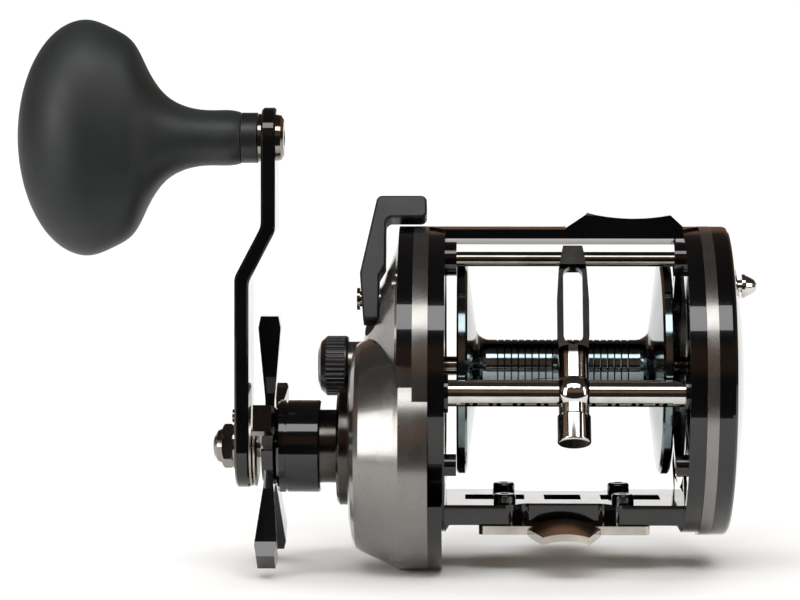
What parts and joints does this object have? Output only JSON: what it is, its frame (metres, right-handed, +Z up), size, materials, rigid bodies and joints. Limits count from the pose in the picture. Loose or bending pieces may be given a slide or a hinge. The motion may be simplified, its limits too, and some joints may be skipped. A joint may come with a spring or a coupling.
{
  "type": "trolling reel",
  "caption": "Levelwind trolling reel with a star drag, round side plates, an open two-ring frame and a long crank with a T-shaped knob.",
  "frame": {"origin": "centre of the foot's underside, the face that lies on the rod's reel seat", "axes": "+Z up, away from the rod; -Y front, where the line leaves and the levelwind is; -X the handle side; all shafts run along X"},
  "size_m": [0.1915, 0.0859, 0.1423],
  "materials": {
    "black_gloss": "gloss black anodised",
    "gunmetal": "metallic gunmetal lacquer",
    "satin_black": "satin black",
    "spool_chrome": "dark polished anodised aluminium",
    "dark_chrome": "black chrome",
    "bright_chrome": "bright chrome",
    "stainless": "satin stainless steel",
    "polished_steel": "polished stainless steel",
    "brass": "machined brass",
    "bronze": "bronze",
    "soft_grip": "matte soft-touch rubber",
    "nylon": "black nylon",
    "white_nylon": "natural nylon",
    "fibre": "carbon fibre drag material"
  },
  "bodies": {
    "root": {"frame": "black_gloss", "foot": "stainless", "foot_screws": "dark_chrome", "stabiliser_rod": "polished_steel", "worm_tube": "bright_chrome", "worm_bushings": "nylon", "idler_pin": "polished_steel", "spool_bearing_handle": "polished_steel", "spool_bearing_left": "polished_steel", "left_side_plate": "gunmetal", "left_side_cover": "black_gloss", "left_cover_screws": "polished_steel", "handle_side_plate": "gunmetal", "handle_side_trim": "black_gloss", "handle_plate_screws": "polished_steel", "gear_case_cover": "black_gloss", "bridge_plate": "nylon", "bridge_posts": "stainless", "yoke_springs": "stainless", "dog_spring": "stainless", "drive_bearing": "polished_steel", "bearing_cap": "gunmetal", "drag_tube": "gunmetal"},
    "crank": {"drive_shaft": "polished_steel", "levelwind_cog": "white_nylon", "drag_fibre_washers": "fibre", "drag_metal_washers": "stainless", "anti_reverse_ratchet": "stainless", "spring_washers": "stainless", "handle_arm": "black_gloss", "nut_washer": "polished_steel", "handle_nut": "polished_steel", "lock_screw": "polished_steel", "knob_spindle": "polished_steel", "knob_washer": "polished_steel"},
    "main_gear_body": {"main_gear": "bronze"},
    "knob": {"handle_knob": "soft_grip", "knob_cap": "satin_black"},
    "drag_pusher": {"drag_sleeve": "black_gloss"},
    "star": {"star_wheel": "black_gloss"},
    "spool_group": {"spool": "spool_chrome", "spool_shaft": "polished_steel", "click_ratchet": "brass"},
    "yoke": {"pinion_yoke": "stainless"},
    "pinion_body": {"pinion": "brass"},
    "idler": {"idler_gear": "white_nylon"},
    "worm": {"worm_shaft": "polished_steel", "worm_gear": "white_nylon"},
    "guide": {"line_guide": "dark_chrome", "pawl_cap": "bright_chrome"},
    "pawl": {"guide_pawl": "bronze"},
    "lever": {"clutch_lever": "satin_black", "lever_shaft": "stainless", "lever_screw": "polished_steel", "clutch_cam": "stainless"},
    "dog": {"anti_reverse_dog": "stainless"},
    "clicker": {"click_button": "bright_chrome", "click_pawl": "stainless"},
    "cast_knob": {"tension_knob": "black_gloss", "tension_disc": "bronze"}
  },
  "joints": [
    {"name": "crank_turn", "type": "hinge", "parent": "root", "child": "crank", "pos_m": [0, -0.01203, 0.02207], "axis": [1, 0, 0], "continuous": true},
    {"name": "main_gear_turn", "type": "hinge", "parent": "root", "child": "main_gear_body", "pos_m": [0, -0.01203, 0.02207], "axis": [1, 0, 0], "continuous": true},
    {"name": "knob_turn", "type": "hinge", "parent": "crank", "child": "knob", "pos_m": [0, -0.01203, 0.10207], "axis": [1, 0, 0], "continuous": true},
    {"name": "drag_slide", "type": "slide", "parent": "crank", "child": "drag_pusher", "axis": [1, 0, 0], "range_m": [-0.00025, 0.00025]},
    {"name": "star_turn", "type": "hinge", "parent": "drag_pusher", "child": "star", "pos_m": [0, -0.01203, 0.02207], "axis": [1, 0, 0], "range_deg": [-180, 180]},
    {"name": "spool_turn", "type": "hinge", "parent": "root", "child": "spool_group", "pos_m": [0, 0.003, 0.0418], "axis": [1, 0, 0], "continuous": true},
    {"name": "yoke_slide", "type": "slide", "parent": "root", "child": "yoke", "axis": [-1, 0, 0], "range_m": [0, 0.002], "deforming": ["yoke_springs"]},
    {"name": "pinion_turn", "type": "hinge", "parent": "yoke", "child": "pinion_body", "pos_m": [0, 0.003, 0.0418], "axis": [1, 0, 0], "continuous": true},
    {"name": "idler_turn", "type": "hinge", "parent": "root", "child": "idler", "pos_m": [0, -0.0236, 0.03114], "axis": [1, 0, 0], "continuous": true},
    {"name": "worm_turn", "type": "hinge", "parent": "root", "child": "worm", "pos_m": [0, -0.03209, 0.03781], "axis": [1, 0, 0], "continuous": true},
    {"name": "guide_slide", "type": "slide", "parent": "root", "child": "guide", "axis": [1, 0, 0], "range_m": [-0.0235, 0.0195]},
    {"name": "pawl_swivel", "type": "hinge", "parent": "guide", "child": "pawl", "pos_m": [0.0019, -0.03209, 0.03781], "axis": [0, 0.414, 0.9103], "range_deg": [-22, 22]},
    {"name": "lever_swing", "type": "hinge", "parent": "root", "child": "lever", "pos_m": [0, -0.009, 0.0602], "axis": [1, 0, 0], "range_deg": [0, 50]},
    {"name": "dog_swing", "type": "hinge", "parent": "root", "child": "dog", "pos_m": [0, 0.00481, 0.01971], "axis": [-1, 0, 0], "range_deg": [0, 12]},
    {"name": "click_slide", "type": "slide", "parent": "root", "child": "clicker", "axis": [0, 0, -1], "range_m": [0, 0.004]},
    {"name": "cast_knob_turn", "type": "hinge", "parent": "root", "child": "cast_knob", "pos_m": [0, 0.003, 0.0418], "axis": [1, 0, 0], "range_deg": [-360, 0]}
  ],
  "couplings": [
    {"joint": "main_gear_turn", "follows": "crank_turn", "ratio": 1},
    {"joint": "spool_turn", "follows": "crank_turn", "ratio": -4.1667},
    {"joint": "pinion_turn", "follows": "crank_turn", "ratio": -4.1667},
    {"joint": "idler_turn", "follows": "crank_turn", "ratio": -1.2273},
    {"joint": "worm_turn", "follows": "crank_turn", "ratio": 1.9286},
    {"joint": "drag_slide", "follows": "star_turn", "m_per_rad": 0.000079577},
    {"joint": "yoke_slide", "follows": "lever_swing", "m_per_rad": 0.0022918}
  ]
}
